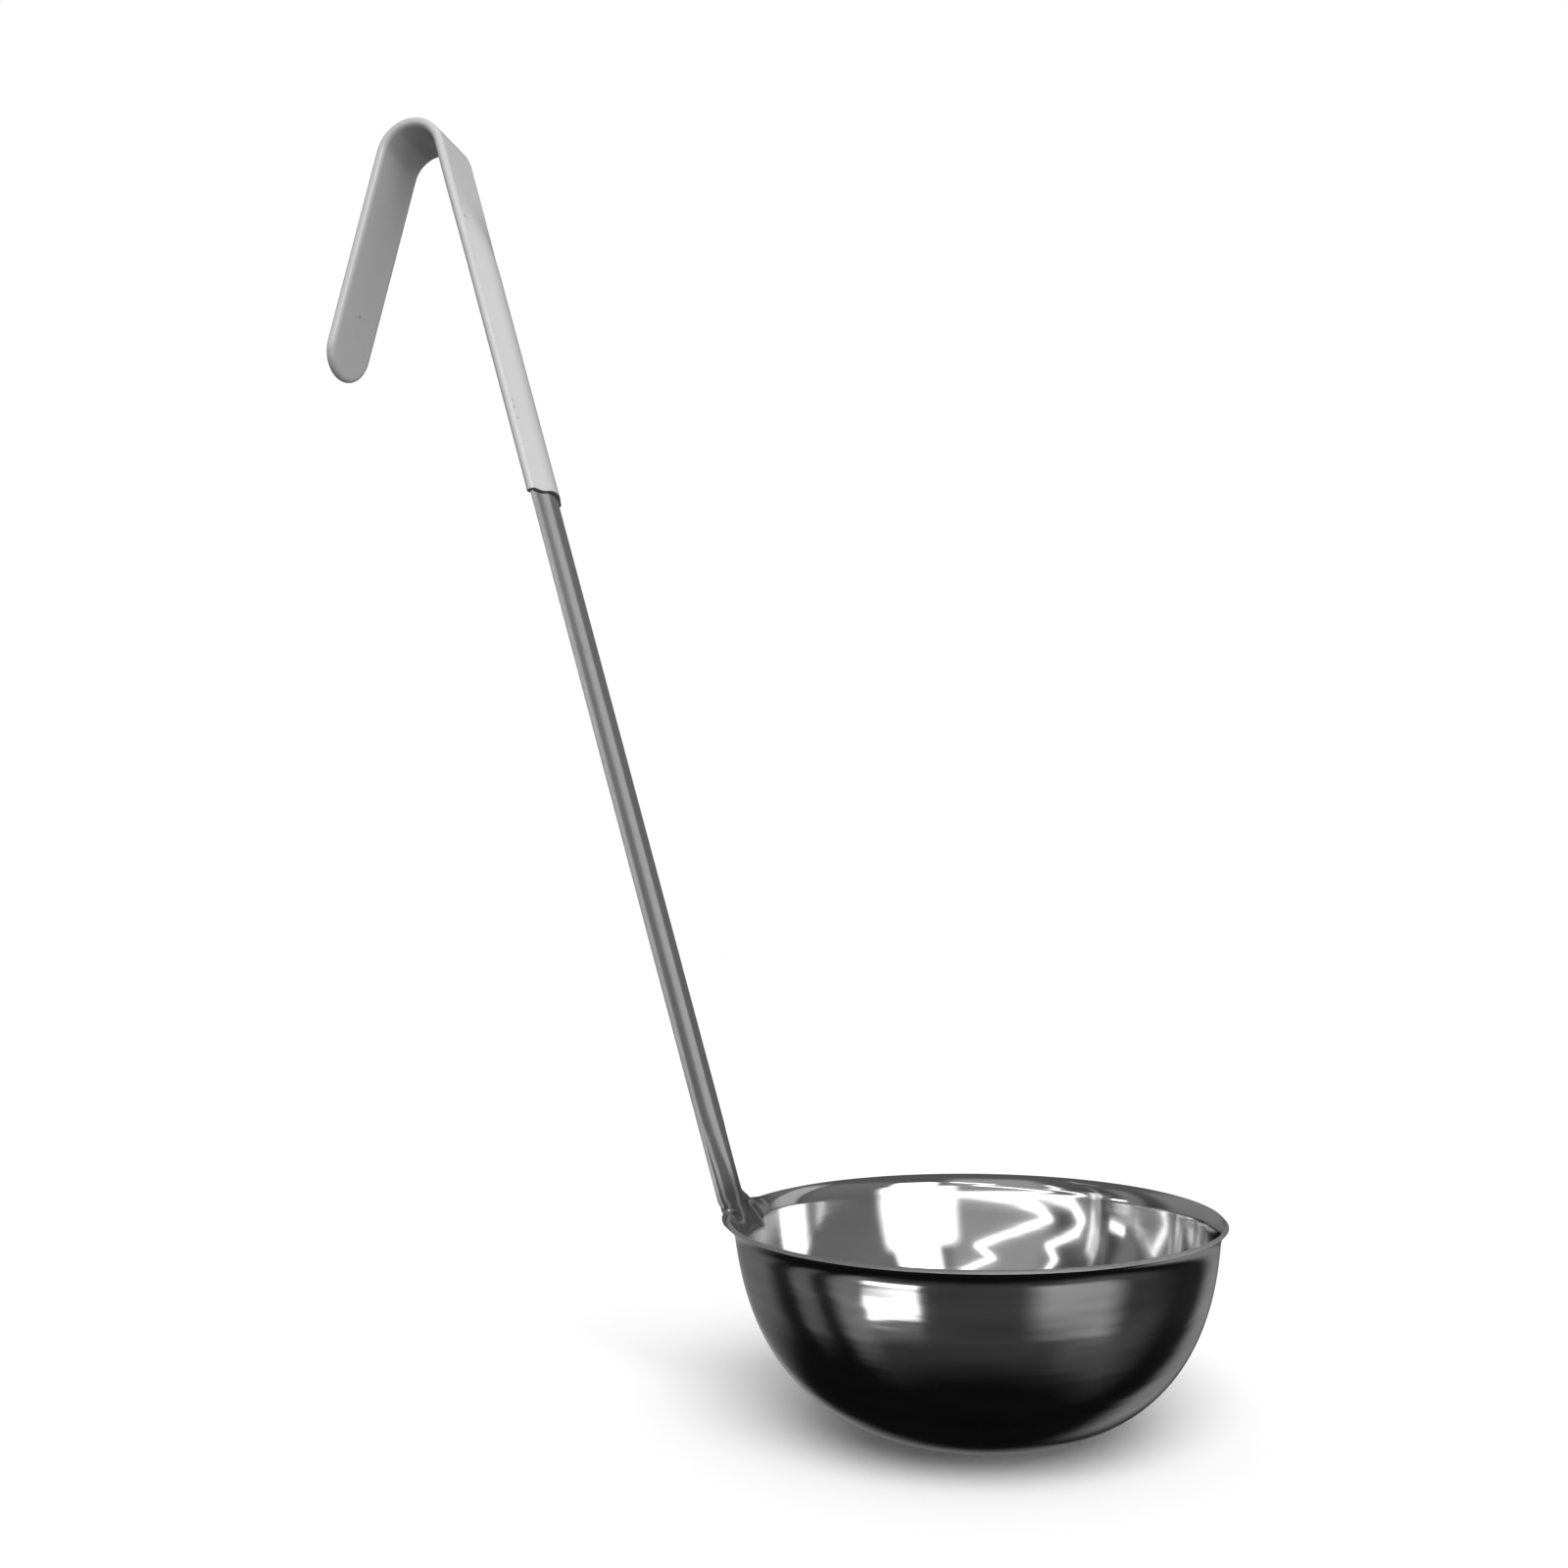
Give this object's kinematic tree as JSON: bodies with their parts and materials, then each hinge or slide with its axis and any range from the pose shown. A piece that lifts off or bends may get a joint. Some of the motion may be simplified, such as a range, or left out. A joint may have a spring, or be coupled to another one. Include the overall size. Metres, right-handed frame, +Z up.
{
  "type": "soup ladle",
  "caption": "One-piece stainless soup ladle with a deep round bowl, flared pouring lip, ribbed leaning handle and a hooked end dipped in soft vinyl.",
  "frame": {"origin": "centre of the small flat foot under the bowl", "axes": "+Z up out of the level bowl, -X from the bowl's centre to the handle, the handle and hook lie in the XZ plane"},
  "size_m": [0.2466, 0.12, 0.3616],
  "materials": {
    "stainless": "polished inside the bowl, satin outside and on the handle",
    "grip_vinyl": "smooth satin-gloss dipped vinyl"
  },
  "bodies": {
    "root": {"ladle_body": "stainless", "grip_sleeve": "grip_vinyl"}
  },
  "joints": []
}
